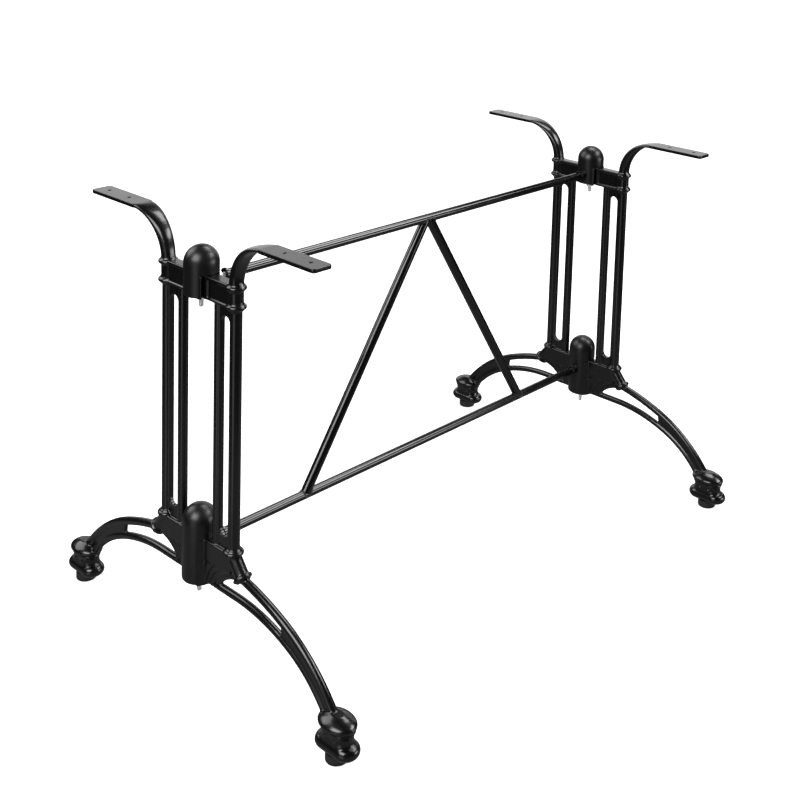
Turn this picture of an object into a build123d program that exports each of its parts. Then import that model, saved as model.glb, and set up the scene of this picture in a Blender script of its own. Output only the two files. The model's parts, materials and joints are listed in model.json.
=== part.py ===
from build123d import *
from math import acos, cos, degrees, hypot, radians, sin, sqrt
import os

# Outdoor table base: two cast end frames joined by two rails with a V brace.
# Millimetres. X runs along the table, Y across it, Z up from the floor. The origin is the bottom centre.
# A casting lies in the YZ plane. It is drawn on the plus Y side and mirrored for the other one.

# Overall sizes
height = 720.0
frame_spacing = 996.0
arm_reach = 282.0
screw_y_outer = arm_reach - 26.5
screw_y_inner = arm_reach - 84.0

# Arm
arm_width = 36.0
arm_thickness = 6.5
arm_bend_radius = 72.0
arm_root_width = 22.0
arm_root_thickness = 20.0
arm_corner = 5.0
screw_hole_diameter = 6.0

# Columns
outer_column_y = 87.4
outer_column_radius = 9.6
inner_column_y = 45.9
inner_column_radius = 7.8
column_web_thickness = 8.0
slot_bottom = 236.0
slot_edge_margin = 1.6

# Ring beads
bead_radius = 16.2
bead_roll = 4.0
bead_collar_height = 11.0
bead_top_z = height - arm_thickness / 2 - arm_bend_radius - 4.15
bead_second_z = bead_top_z - 30.0
bead_bottom_z = 217.6
bead_boss_radius = 11.4
slot_top = bead_top_z - 50.1

# Hubs
hub_radius = 27.8
cheek_inner = 19.5
top_hub_apex = bead_top_z + 46.9
top_hub_bottom = bead_top_z - 31.1
top_slot_roof = bead_top_z + 4.4
bottom_hub_apex = 265.0
bottom_hub_bottom = 139.5
bottom_slot_roof = 217.0
bottom_hub_rounding = 7.0
block_setback = 0.7
slide_gap = 0.2
roof_gap = 0.3
middle_gap = 0.5
fin_y = 23.2
fin_half = 18.2
fin_thickness = 2.4
fin_recess_depth = 6.0

# Webs between columns and hub
rim_half = 10.0
rim_height = 4.5
panel_half = 8.0
top_web_top = bead_top_z + 3.9
top_web_bottom = bead_top_z - 33.6
plate_top = 217.0
plate_bottom = 184.0
plate_edge = 1.2

# Arch and rounded ridges under the bottom plate, each as centre Y, centre Z, radius and half thickness
ridges = (
    (109.0, 108.5, 67.8, 4.6),
    (97.4, 122.3, 60.0, 6.4),
    (91.4, 132.3, 58.5, 8.2),
    (85.4, 142.3, 57.0, 10.0),
)
ridge_rounding = 1.7

# Leg rods
upper_rod_radius = 7.0
lower_rod_radius = 6.3
elbow_bead_y = 110.0
elbow_bead_z = 184.0
elbow_bead_radius = 15.5
upper_start_y = 108.0
upper_start_z = 183.0
upper_angles = (10.0, 22.0, 52.0)
upper_bends = (480.0, 285.0)
lower_rod_z = 147.0
lower_straight_end = 98.0
lower_angles = (0.0, 24.0, 50.0)
lower_bends = (320.0, 200.0)
leg_web_half = 3.4
slit_end_y = 203.0

# Foot
foot_y = 332.0
collar_y = 331.0
collar_length = 33.8
collar_width = 24.6
collar_underside = 54.4
base_length = 39.7
base_width = 20.4
base_bottom = 14.5
base_height = 18.0
neck_length = 27.8
neck_width = 15.5
nub_radius = 3.0
nub_spacing = 20.0
nub_z = 39.5

# Glides
glide_radius = 17.7
glide_height = 14.5
glide_rounding = 3.0
glide_stud_diameter = 8.0
glide_stud_length = 22.0

# Rails and braces
tube_radius = 8.0
tube_wall = 1.5
brace_radius = 9.0
rail_top_z = bead_top_z - 11.9
rail_bottom_z = 196.5
rail_hub_gap = 15.5
brace_head_x = 3.5
brace_foot_x = 283.0
plug_flange = 2.5
plug_flange_radius = 10.5
plug_length = 14.0

# Fasteners
stud_diameter = 8.0
hub_stud_below = 21.5
hub_stud_in_dome = 14.0
nut_width = 13.0
nut_height = 6.5
washer_radius = 8.5
rail_nut_width = 16.0
rail_nut_height = 7.5
rail_washer_radius = 9.6
washer_thickness = 1.6
washer_hole_gap = 0.2
channel_gap = 0.6
spotface_radius = 10.2
spotface_depth = 2.2


def across(sketch, half):
    """Plate of a YZ sketch, half millimetres thick each side of the casting's middle."""
    return extrude(sketch, amount=half, dir=(1, 0, 0), both=True)


def yz_box(y0, y1, z0, z1):
    """Rectangle on the YZ plane between two corners."""
    return Plane.YZ * Pos((y0 + y1) / 2, (z0 + z1) / 2) * Rectangle(y1 - y0, z1 - z0)


def yz_circle(y, z, radius):
    """Disc on the YZ plane."""
    return Plane.YZ * Pos(y, z) * Circle(radius)


def upright(y, radius, z0, z1):
    """Vertical cylinder in the casting's middle plane."""
    return Pos(0, y, z0) * Cylinder(radius, z1 - z0, align=(Align.CENTER, Align.CENTER, Align.MIN))


def bead_profile(z, radius, collar_height):
    """Outline points of a ring bead at height z, from its lower end up, as radius and height pairs."""
    neck, lip = radius - bead_roll, collar_height / 2
    turns = [radians(t) for t in (-90, -54, -18, 18, 54, 90)]
    steps = [(neck + bead_roll * cos(t), z + bead_roll * sin(t)) for t in turns]
    return [(neck, z - lip)] + steps + [(neck, z + lip)]


def turned(points):
    """Solid turned about the Z axis through outline points from the bottom up."""
    outline = [(0, points[0][1])] + list(points) + [(0, points[-1][1])]
    face = make_face(Polyline(*[(r, 0, z) for r, z in outline], close=True))
    return revolve(face, Axis.Z)


def rod_points(start_y, start_z, angles, bends):
    """Corner points and middle points of the arcs of a leg rod, which bends down as it goes out."""
    points = [(start_y, start_z)]
    for a0, a1, bend in zip(angles, angles[1:], bends):
        y, z = points[-1]
        for a in ((a0 + a1) / 2, a1):
            out = bend * (sin(radians(a)) - sin(radians(a0)))
            down = bend * (cos(radians(a0)) - cos(radians(a)))
            points.append((y + out, z - down))
    return points


def rod_path(points, tail, tail_angle, lead=None):
    """Wire of tangent arcs through the points, with an optional straight lead and a straight tail."""
    edges = []
    if lead is not None:
        edges.append(Line((0, *lead), (0, *points[0])))
    for i in range(0, len(points) - 1, 2):
        a, b, c = points[i:i + 3]
        edges.append(ThreePointArc((0, *a), (0, *b), (0, *c)))
    y, z = points[-1]
    tip = (0, y + tail * cos(radians(tail_angle)), z - tail * sin(radians(tail_angle)))
    edges.append(Line((0, y, z), tip))
    return Wire(edges)


def rod(path, radius):
    """Round rod along a path."""
    start = path @ 0
    return sweep(Plane(origin=start, z_dir=path % 0) * Circle(radius), path=path)


def arm():
    """Tabletop arm: round at the bead, bent outwards and blended to a flat bar with two screw holes."""
    middle_z = height - arm_thickness / 2
    centre_y, centre_z = outer_column_y + arm_bend_radius, middle_z - arm_bend_radius
    stations = ((0, 0.0), (18, 0.16), (38, 0.42), (62, 0.78), (90, 1.0))
    sections = []
    for angle, share in stations:
        a = radians(180 - angle)
        y, z = centre_y + arm_bend_radius * cos(a), centre_z + arm_bend_radius * sin(a)
        width = arm_root_width + share * (arm_width - arm_root_width)
        thick = arm_root_thickness + share * (arm_thickness - arm_root_thickness)
        heading = (0, sin(radians(angle)), cos(radians(angle)))
        plane = Plane(origin=(0, y, z), x_dir=(1, 0, 0), z_dir=heading)
        sections.append(plane * RectangleRounded(width, thick, 0.42 * thick))
    bend = loft(sections)
    flat = Pos(0, (centre_y + arm_reach) / 2, middle_z) * Box(arm_width, arm_reach - centre_y, arm_thickness)
    tip = flat.faces().sort_by(Axis.Y)[-1].edges().filter_by(Axis.Z)
    flat = fillet(tip, arm_corner)
    root = upright(outer_column_y, arm_root_thickness / 2, bead_top_z, centre_z + 0.5)
    body = root + bend + flat
    for y in (screw_y_inner, screw_y_outer):
        body -= Pos(0, y, middle_z) * Cylinder(screw_hole_diameter / 2, 3 * arm_thickness)
    return body


def outer_column():
    """Outer column with its three ring beads and the boss between the upper two, turned in one."""
    low = bead_profile(bead_bottom_z, bead_radius, bead_collar_height)
    second = bead_profile(bead_second_z, bead_radius, bead_collar_height)
    top = bead_profile(bead_top_z, bead_radius, bead_collar_height)
    points = [(bead_boss_radius, bead_bottom_z - bead_collar_height / 2 - 4)]
    points += [(bead_boss_radius, low[0][1])] + low + [(outer_column_radius, low[-1][1] + 1.5)]
    points += [(outer_column_radius, second[0][1] - 1.5)] + second
    points += [(bead_boss_radius, second[-1][1] + 1), (bead_boss_radius, top[0][1] - 1)] + top
    points += [(outer_column_radius, top[-1][1] + 1), (outer_column_radius, top[-1][1] + 6)]
    return Pos(0, outer_column_y, 0) * turned(points)


def columns():
    """Outer and inner column, the thin web between them and its long round-ended slot."""
    inner = upright(inner_column_y, inner_column_radius, plate_bottom + 10, top_web_top - rim_height)
    web = across(yz_box(inner_column_y, outer_column_y, plate_top - 3, top_web_bottom + 3), column_web_thickness / 2)
    y0 = inner_column_y + inner_column_radius + slot_edge_margin
    y1 = outer_column_y - outer_column_radius - slot_edge_margin / 2
    slot_radius = (y1 - y0) / 2
    middle = (y0 + y1) / 2
    slot = yz_box(y0, y1, slot_bottom + slot_radius, slot_top - slot_radius)
    slot += yz_circle(middle, slot_top - slot_radius, slot_radius)
    slot += yz_circle(middle, slot_bottom + slot_radius, slot_radius)
    return inner + (web - across(slot, column_web_thickness))


def hub_block(z0, z1):
    """Casting's end inside a hub: a block between the cheeks, flush with the hub, with half the stud's channel."""
    half = cheek_inner - slide_gap
    radius = hub_radius - block_setback
    block = upright(0, radius, z0, z1)
    block &= Pos(0, radius / 2 + middle_gap / 2, (z0 + z1) / 2) * Box(2 * half, radius, z1 - z0)
    return block - upright(0, stud_diameter / 2 + channel_gap, z0 - 1, z1 + 1)


def hub_fins(z0, z1):
    """Flat end of the top block outside the hub, with a deep upright recess between its fin and the web."""
    middle_z, rise = (z0 + z1) / 2, z1 - z0
    start = sqrt(hub_radius ** 2 - fin_half ** 2) - 3
    block = Pos(0, (start + fin_y) / 2, middle_z) * Box(2 * fin_half, fin_y - start, rise)
    block = fillet(block.faces().sort_by(Axis.Y)[-1].edges().filter_by(Axis.Z), 1.0)
    return block


def fin_recess(side, z0, z1):
    """Upright recess between a fin and the web on one side of the casting."""
    outer, inner = fin_half - fin_thickness, rim_half + 0.6
    x = side * (outer + inner) / 2
    y = fin_y - fin_recess_depth / 2 + 1
    return Pos(x, y, (z0 + z1) / 2) * Box(outer - inner, fin_recess_depth + 2, z1 - z0 + 4)


def top_web():
    """Web from the hub to the column at the top, with raised rims round a recessed panel."""
    y0 = sqrt((hub_radius - block_setback) ** 2 - rim_half ** 2) - 2
    plate = across(yz_box(y0, outer_column_y, top_web_bottom, top_web_top), rim_half)
    plate = fillet(plate.edges().filter_by(Axis.Y), plate_edge)
    pocket_y0, pocket_y1 = y0 + 2 + 2.5, outer_column_y - bead_boss_radius + 1
    pocket = yz_box(pocket_y0, pocket_y1, top_web_bottom + rim_height, top_web_top - rim_height)
    depth = rim_half - panel_half
    for side in (-1, 1):
        plate -= Pos(side * (rim_half - depth / 2), 0, 0) * across(pocket, depth / 2)
    return plate


def bottom_plate():
    """Thick plate beside the bottom hub, with the arch and its rounded ridges under it."""
    y0 = sqrt((hub_radius - block_setback) ** 2 - rim_half ** 2) - 2
    body = across(yz_box(y0, outer_column_y + 4, plate_bottom, plate_top), rim_half)
    body = fillet(body.edges().filter_by(Axis.Y), plate_edge)
    for centre_y, centre_z, radius, half in ridges:
        sheet = yz_box(y0, elbow_bead_y, lower_rod_z, plate_bottom + 2)
        layer = across(sheet - yz_circle(centre_y, centre_z, radius), half)
        rims = layer.edges().filter_by(GeomType.CIRCLE)
        body += fillet(rims, ridge_rounding)
    return body


def elbow():
    """Cone from the column's foot to the tilted bead where the upper rod starts, turned in one."""
    top_y, top_z = outer_column_y, bead_bottom_z - 6
    reach = hypot(elbow_bead_y - top_y, elbow_bead_z - top_z)
    heading = (0, elbow_bead_y - top_y, elbow_bead_z - top_z)
    neck = elbow_bead_radius - bead_roll
    points = [(bead_boss_radius - 1, -8), (bead_boss_radius, 0)]
    points += bead_profile(reach, elbow_bead_radius, bead_collar_height - 1) + [(neck - 2, reach + 6)]
    return Plane(origin=(0, top_y, top_z), x_dir=(1, 0, 0), z_dir=heading) * turned(points)


def leg():
    """Two curved rods that run together to the foot, with a thin web past the slit."""
    upper_points = rod_points(upper_start_y, upper_start_z, upper_angles, upper_bends)
    lower_points = rod_points(lower_straight_end, lower_rod_z, lower_angles, lower_bends)
    upper = rod_path(upper_points, 18, upper_angles[-1])
    lower = rod_path(lower_points, 10, lower_angles[-1], lead=(hub_radius - 2, lower_rod_z))
    shares = [i / 40 for i in range(41)]
    top_line = [p for p in (upper @ s for s in shares) if p.Y >= slit_end_y]
    low_line = [p for p in (lower @ s for s in shares) if p.Y >= slit_end_y]
    edges = [Spline(*top_line), Line(top_line[-1], low_line[-1]), Spline(*low_line), Line(low_line[0], top_line[0])]
    web = across(make_face(edges), leg_web_half)
    return rod(upper, upper_rod_radius) + rod(lower, lower_rod_radius) + web


def oval_stack(y, levels):
    """Solid through ovals given as height, half length along Y and half width along X."""
    return loft([Pos(0, y, z) * Ellipse(half_x, half_y) for z, half_y, half_x in levels], ruled=True)


def slot_stack(y, levels):
    """Solid through round-ended slots given as height, half length along Y and half width along X."""
    slots = [Pos(0, y, z) * SlotOverall(2 * half_y, 2 * half_x, rotation=90) for z, half_y, half_x in levels]
    return loft(slots, ruled=True)


def foot():
    """Foot of the leg: thin-rimmed oval collar, grooved neck and round-edged base, bored for the glide's stud."""
    a, b, z = collar_length, collar_width, collar_underside
    dome = ((0, 0.90), (1.0, 0.965), (2.4, 0.995), (4.0, 1.0), (5.6, 0.985), (7.6, 0.93))
    dome += ((10.0, 0.82), (13.0, 0.64), (16.5, 0.36))
    collar = oval_stack(collar_y, [(z + rise, f * a, f * b) for rise, f in dome])
    n, m = neck_length, neck_width
    low = base_bottom + base_height
    waist = ((low - 4, 4.0, 2.2), (low + 1, 1.6, 1.0), (low + 6, 0.0, 0.0), (z - 9, 0.4, 0.3))
    waist += ((z - 5.5, 2.2, 1.8), (z - 3.6, 3.8, 3.4), (z - 3.0, 1.2, 1.0), (z - 1.2, 1.2, 1.0))
    waist += ((z - 0.6, 3.8, 3.6), (z + 2, 4.2, 4.0))
    neck = slot_stack(foot_y, [(level, n + long, m + wide) for level, long, wide in waist])
    edge = ((0.0, 6.4), (0.06, 4.4), (0.16, 2.3), (0.3, 0.8), (0.5, 0.0), (0.7, 0.7), (0.84, 2.0))
    edge += ((0.94, 3.7), (1.0, 5.0))
    base = slot_stack(foot_y, [(base_bottom + t * base_height, base_length - d, base_width - d) for t, d in edge])
    body = collar + neck + base
    for y in (foot_y - nub_spacing / 2, foot_y + nub_spacing / 2):
        for side in (-1, 1):
            body += Pos(side * (neck_width - 0.6), y, nub_z) * Sphere(nub_radius)
    return body - upright(foot_y, glide_stud_diameter / 2, 0, glide_height + glide_stud_length)


def leg_casting():
    """One casting: arm, columns, webs, elbow, leg and foot."""
    z0, z1 = top_web_bottom + 1, top_slot_roof - 1
    upper = top_web() + hub_block(z0, top_slot_roof - roof_gap) + hub_fins(z0, z1)
    for side in (-1, 1):
        upper -= fin_recess(side, z0, z1)
    lower = bottom_plate() + hub_block(bottom_hub_bottom, bottom_slot_roof - roof_gap)
    body = outer_column() + columns() + arm() + upper
    for feature in (lower, elbow(), leg(), foot()):
        body += feature
    return body


def hub(apex, bottom, roof, rail_z, rounding):
    """Domed cap with two cheeks, tapped for its stud and for the rail's stud on each side that has one."""
    shoulder = apex - hub_radius
    body = upright(0, hub_radius, bottom, shoulder) + Pos(0, 0, shoulder) * Sphere(hub_radius)
    if rounding:
        body = fillet(body.edges().group_by(Axis.Z)[0], rounding)
    body -= Pos(0, 0, bottom - 1) * Box(2 * cheek_inner, 4 * hub_radius, roof - bottom + 1,
                                        align=(Align.CENTER, Align.CENTER, Align.MIN))
    body -= upright(0, stud_diameter / 2, roof - 1, roof + hub_stud_in_dome)
    rail_side = Plane(origin=(hub_radius, 0, rail_z), z_dir=(-1, 0, 0))
    body -= rail_side * Cylinder(spotface_radius, 2 * spotface_depth)
    return body - rail_side * Cylinder(stud_diameter / 2, 2 * (hub_radius - cheek_inner + 1))


def hexagon_nut(width, rise):
    """Nut with chamfered corners and its bore, standing on its lower face."""
    blank = extrude(RegularPolygon(width / 2, 6, major_radius=False), amount=rise)
    corner = width / 2 / cos(radians(30))
    cone = Cylinder(corner, rise, align=(Align.CENTER, Align.CENTER, Align.MIN))
    cone = chamfer(cone.edges(), 0.9)
    return (blank & cone) - Cylinder(stud_diameter / 2, 4 * rise)


def washer(radius):
    """Flat washer on its lower face."""
    ring = Cylinder(radius, washer_thickness, align=(Align.CENTER, Align.CENTER, Align.MIN))
    return ring - Cylinder(stud_diameter / 2 + washer_hole_gap, 4 * washer_thickness)


def stud(length):
    """Plain round stud with chamfered ends, from its lower end up."""
    body = Cylinder(stud_diameter / 2, length, align=(Align.CENTER, Align.CENTER, Align.MIN))
    return chamfer(body.edges(), 0.8)


def tube(start, end, radius):
    """Round tube between two points."""
    axis = Vector(*end) - Vector(*start)
    plane = Plane(origin=start, z_dir=axis)
    body = Cylinder(radius, axis.length, align=(Align.CENTER, Align.CENTER, Align.MIN))
    bore = Cylinder(radius - tube_wall, axis.length, align=(Align.CENTER, Align.CENTER, Align.MIN))
    return plane * (body - bore)


def rail_end_x():
    """Distance of a rail's end face from the middle of the table."""
    return frame_spacing / 2 - hub_radius - rail_hub_gap


def rail(z):
    """Rail between the flanges of its two plugs."""
    x = rail_end_x() - plug_flange
    return tube((-x, 0, z), (x, 0, z), tube_radius)


def brace(side):
    """Brace from the top rail's middle down to the bottom rail, coped to both and mitred to its twin."""
    head, toe = (side * brace_head_x, 0, rail_top_z), (side * brace_foot_x, 0, rail_bottom_z)
    body = tube(head, toe, brace_radius)
    for z in (rail_top_z, rail_bottom_z):
        body -= Pos(0, 0, z) * Rot(0, 90, 0) * Cylinder(tube_radius, frame_spacing)
    half_space = Box(frame_spacing, 100, height, align=(Align.MIN, Align.CENTER, Align.MIN))
    if side < 0:
        half_space = mirror(half_space, about=Plane.YZ)
    return body & half_space


def rail_hardware():
    """Plug, stud, nut and washer of one rail end, along plus X from the hub's axis, at height zero."""
    face = hub_radius - spotface_depth
    end = hub_radius + rail_hub_gap
    along = Plane(origin=(0, 0, 0), z_dir=(1, 0, 0))
    flange = Cylinder(plug_flange_radius, plug_flange, align=(Align.CENTER, Align.CENTER, Align.MIN))
    spigot = Cylinder(tube_radius - tube_wall, plug_length, align=(Align.CENTER, Align.CENTER, Align.MIN))
    plug = flange + Pos(0, 0, plug_flange) * spigot
    plug -= Cylinder(stud_diameter / 2, 2 * (plug_length - 2))
    length = end + plug_length - 4 - cheek_inner
    return {
        "rail_plug": along * Pos(0, 0, end) * plug,
        "rail_stud": along * Pos(0, 0, cheek_inner + 0.5) * stud(length),
        "rail_washer": along * Pos(0, 0, face) * washer(rail_washer_radius),
        "rail_nut": along * Pos(0, 0, face + washer_thickness) * hexagon_nut(rail_nut_width, rail_nut_height),
    }


def hub_hardware(block_bottom, roof, bottom):
    """Stud, washer and nut of one hub, on the hub's axis."""
    low = bottom - hub_stud_below
    return {
        "hub_stud": Pos(0, 0, low) * stud(roof + hub_stud_in_dome - 2 - low),
        "hub_washer": Pos(0, 0, block_bottom - washer_thickness) * washer(washer_radius),
        "hub_nut": Pos(0, 0, block_bottom - washer_thickness - nut_height) * hexagon_nut(nut_width, nut_height),
    }


def glide():
    """Glide pad and the stud moulded into it."""
    pad = Cylinder(glide_radius, glide_height, align=(Align.CENTER, Align.CENTER, Align.MIN))
    pad = fillet(pad.edges().group_by(Axis.Z)[0], glide_rounding)
    pad -= upright(0, glide_stud_diameter / 2, glide_height / 2, glide_height + 1)
    pin = Cylinder(glide_stud_diameter / 2, glide_height / 2 + glide_stud_length - 2,
                   align=(Align.CENTER, Align.CENTER, Align.MIN))
    return {"glide_pad": pad, "glide_stud": Pos(0, 0, glide_height / 2) * pin}


def build():
    """All pieces at their places, by node name."""
    nodes = {}
    casting = {"left": leg_casting()}
    casting["right"] = mirror(casting["left"], about=Plane.XZ)
    hubs = {
        "top": (hub(top_hub_apex, top_hub_bottom, top_slot_roof, rail_top_z, 0),
                hub_hardware(top_web_bottom + 1, top_slot_roof, top_hub_bottom)),
        "bottom": (hub(bottom_hub_apex, bottom_hub_bottom, bottom_slot_roof, rail_bottom_z, bottom_hub_rounding),
                   hub_hardware(bottom_hub_bottom, bottom_slot_roof, bottom_hub_bottom)),
    }
    rail_parts = rail_hardware()
    for end, sign in (("a", -1), ("b", 1)):
        place = Pos(sign * frame_spacing / 2, 0, 0)
        turn = Rot(0, 0, 0) if sign < 0 else Rot(0, 0, 180)
        for side, shape in casting.items():
            nodes[f"leg_casting_{end}_{side}"] = place * shape
        for level, (cap, hardware) in hubs.items():
            nodes[f"hub_{level}_{end}"] = place * turn * cap
            for name, shape in hardware.items():
                nodes[f"{name}_{level}_{end}"] = place * shape
            z = {"top": rail_top_z, "bottom": rail_bottom_z}[level]
            for name, shape in rail_parts.items():
                nodes[f"{name}_{level}_{end}"] = place * turn * Pos(0, 0, z) * shape
        for side, y in (("left", foot_y), ("right", -foot_y)):
            for name, shape in glide().items():
                nodes[f"{name}_{end}_{side}"] = place * Pos(0, y, 0) * shape
    nodes["rail_top"] = rail(rail_top_z)
    nodes["rail_bottom"] = rail(rail_bottom_z)
    nodes["brace_a"] = brace(-1)
    nodes["brace_b"] = brace(1)
    return nodes


os.makedirs("parts", exist_ok=True)
for node, shape in build().items():
    export_step(shape, f"parts/{node}.step")
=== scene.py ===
"""Dresses the outdoor table base: two cast end frames, their hubs, two rails and a V brace."""
import json
import logging
import math
from dataclasses import dataclass
from enum import Enum
from typing import Optional, Sequence

import bmesh
import bpy
from mathutils import Euler, Matrix, Vector

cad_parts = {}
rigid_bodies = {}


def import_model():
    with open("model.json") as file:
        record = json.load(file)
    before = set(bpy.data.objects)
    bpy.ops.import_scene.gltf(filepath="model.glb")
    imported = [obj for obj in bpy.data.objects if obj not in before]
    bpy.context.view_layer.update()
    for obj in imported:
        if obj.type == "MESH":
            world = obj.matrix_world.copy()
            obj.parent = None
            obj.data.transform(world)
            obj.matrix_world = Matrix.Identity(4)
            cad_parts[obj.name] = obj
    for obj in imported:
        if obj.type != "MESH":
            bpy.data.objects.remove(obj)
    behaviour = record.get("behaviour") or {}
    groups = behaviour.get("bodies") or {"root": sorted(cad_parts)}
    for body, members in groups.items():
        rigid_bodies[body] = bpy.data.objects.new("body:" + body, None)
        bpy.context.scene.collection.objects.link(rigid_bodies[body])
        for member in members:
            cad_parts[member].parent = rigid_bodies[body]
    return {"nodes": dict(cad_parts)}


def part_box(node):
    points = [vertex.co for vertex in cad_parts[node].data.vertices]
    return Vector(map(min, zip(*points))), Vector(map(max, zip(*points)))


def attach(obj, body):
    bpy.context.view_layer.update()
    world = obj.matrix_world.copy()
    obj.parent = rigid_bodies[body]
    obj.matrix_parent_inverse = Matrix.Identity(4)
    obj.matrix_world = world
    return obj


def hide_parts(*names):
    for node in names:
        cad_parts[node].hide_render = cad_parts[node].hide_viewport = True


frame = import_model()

LOG = logging.getLogger("table_base")
BODY = "root"
RAIL_TOP = 0.6287
RAIL_BOTTOM = 0.1965
Point = tuple[float, float, float]
Flat = tuple[float, float]
Socket = bpy.types.NodeSocket
Sockets = Sequence[tuple[str, str, object]]


class End(Enum):
    """The two ends of the table base, with the sign of X."""

    A = -1
    B = 1

    @property
    def tag(self) -> str:
        """Letter that the node names use."""
        return self.name.lower()


class Side(Enum):
    """The two sides of an end frame, with the sign of Y."""

    LEFT = 1
    RIGHT = -1

    @property
    def tag(self) -> str:
        """Word that the node names use."""
        return self.name.lower()


class Level(Enum):
    """The two heights at which hubs and rails sit."""

    TOP = "top"
    BOTTOM = "bottom"


class Slot(Enum):
    """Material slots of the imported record."""

    CASTING = "casting_black"
    HUB = "hub_black"
    TUBE = "tube_black"
    ZINC = "zinc"
    GLIDE = "glide_black"


# Node trees


class Tree:
    """Short way to build a node tree: adds nodes, sets their inputs and links them."""

    def __init__(self, tree: bpy.types.NodeTree) -> None:
        """Keeps the tree that the nodes go into."""
        self.tree = tree

    def add(self, kind: str, settings: Optional[dict] = None, **inputs: object) -> bpy.types.Node:
        """Adds one node.

        Args:
            kind: Blender's type name of the node.
            settings: Values of the node's own properties.
            inputs: Values or output sockets for its inputs, by name with underscores for spaces, or i0, i1 by index.

        Returns:
            The new node.
        """
        node = self.tree.nodes.new(kind)
        for key, value in (settings or {}).items():
            setattr(node, key, value)
        for key, value in inputs.items():
            by_index = key[0] == "i" and key[1:].isdigit()
            socket = node.inputs[int(key[1:]) if by_index else key.replace("_", " ")]
            if isinstance(value, Socket):
                self.tree.links.new(value, socket)
            else:
                socket.default_value = value
        return node

    def maths(self, operation: str, a: object, b: object = 0.0) -> Socket:
        """Output of one Math node.

        Args:
            operation: The node's operation.
            a: First value or socket.
            b: Second value or socket.

        Returns:
            The result's socket.
        """
        return self.add("ShaderNodeMath", {"operation": operation}, i0=a, i1=b).outputs[0]

    def ramp(self, factor: object, low: float, high: float, to_low: float = 0.0, to_high: float = 1.0) -> Socket:
        """Factor mapped from one range to another and held at its ends.

        Args:
            factor: Value or socket to map.
            low: Value that gives to_low.
            high: Value that gives to_high.
            to_low: Result at low.
            to_high: Result at high.

        Returns:
            The result's socket.
        """
        node = self.add("ShaderNodeMapRange", None, i0=factor, i1=low, i2=high, i3=to_low, i4=to_high)
        return node.outputs[0]

    def noise(self, place: Socket, scale: object, detail: float, roughness: float) -> Socket:
        """Value of a noise texture."""
        node = self.add("ShaderNodeTexNoise", None, Vector=place, Scale=scale, Detail=detail, Roughness=roughness)
        return node.outputs[0]

    def blend(self, factor: object, first: object, second: object) -> Socket:
        """Color between two colors."""
        return self.add("ShaderNodeMix", {"data_type": "RGBA"}, i0=factor, i6=first, i7=second).outputs[2]


def shader_group(name: str, inputs: Sockets,
                 outputs: Sequence[tuple[str, str]]) -> tuple[Tree, bpy.types.Node, bpy.types.Node]:
    """New shader node group with named sockets.

    Args:
        name: The group's name.
        inputs: Name, socket type and default of each input.
        outputs: Name and socket type of each output.

    Returns:
        The tree, its input node and its output node.
    """
    group = bpy.data.node_groups.new(name, "ShaderNodeTree")
    for label, kind, default in inputs:
        group.interface.new_socket(name=label, in_out="INPUT", socket_type=kind).default_value = default
    for label, kind in outputs:
        group.interface.new_socket(name=label, in_out="OUTPUT", socket_type=kind)
    tree = Tree(group)
    return tree, tree.add("NodeGroupInput"), tree.add("NodeGroupOutput")


def powder_skin_group() -> bpy.types.NodeTree:
    """Skin of baked powder: fine orange peel over the slow swell of a casting, with a patchy sheen.

    Returns:
        Group with outputs Normal, Roughness and Patch.
    """
    tree, inp, out = shader_group(
        "powder_skin",
        [("Peel Scale", "NodeSocketFloat", 900.0), ("Peel Depth", "NodeSocketFloat", 0.00003),
         ("Swell Scale", "NodeSocketFloat", 60.0), ("Swell Depth", "NodeSocketFloat", 0.00012),
         ("Roughness", "NodeSocketFloat", 0.35), ("Spread", "NodeSocketFloat", 0.06)],
        [("Normal", "NodeSocketVector"), ("Roughness", "NodeSocketFloat"), ("Patch", "NodeSocketFloat")])
    place = tree.add("ShaderNodeTexCoord").outputs["Object"]
    peel = tree.noise(place, inp.outputs["Peel Scale"], 2.0, 0.45)
    swell = tree.noise(place, inp.outputs["Swell Scale"], 3.0, 0.5)
    patch = tree.noise(place, 14.0, 4.0, 0.6)
    fine = tree.maths("MULTIPLY", peel, inp.outputs["Peel Depth"])
    slow = tree.maths("MULTIPLY", swell, inp.outputs["Swell Depth"])
    bump = tree.add("ShaderNodeBump", None, Strength=1.0, Distance=1.0, Height=tree.maths("ADD", fine, slow))
    soft = tree.ramp(patch, 0.35, 0.65, -1.0, 1.0)
    rough = tree.maths("ADD", inp.outputs["Roughness"], tree.maths("MULTIPLY", soft, inp.outputs["Spread"]))
    tree.tree.links.new(bump.outputs[0], out.inputs["Normal"])
    tree.tree.links.new(rough, out.inputs["Roughness"])
    tree.tree.links.new(tree.ramp(patch, 0.3, 0.7), out.inputs["Patch"])
    return tree.tree


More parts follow.
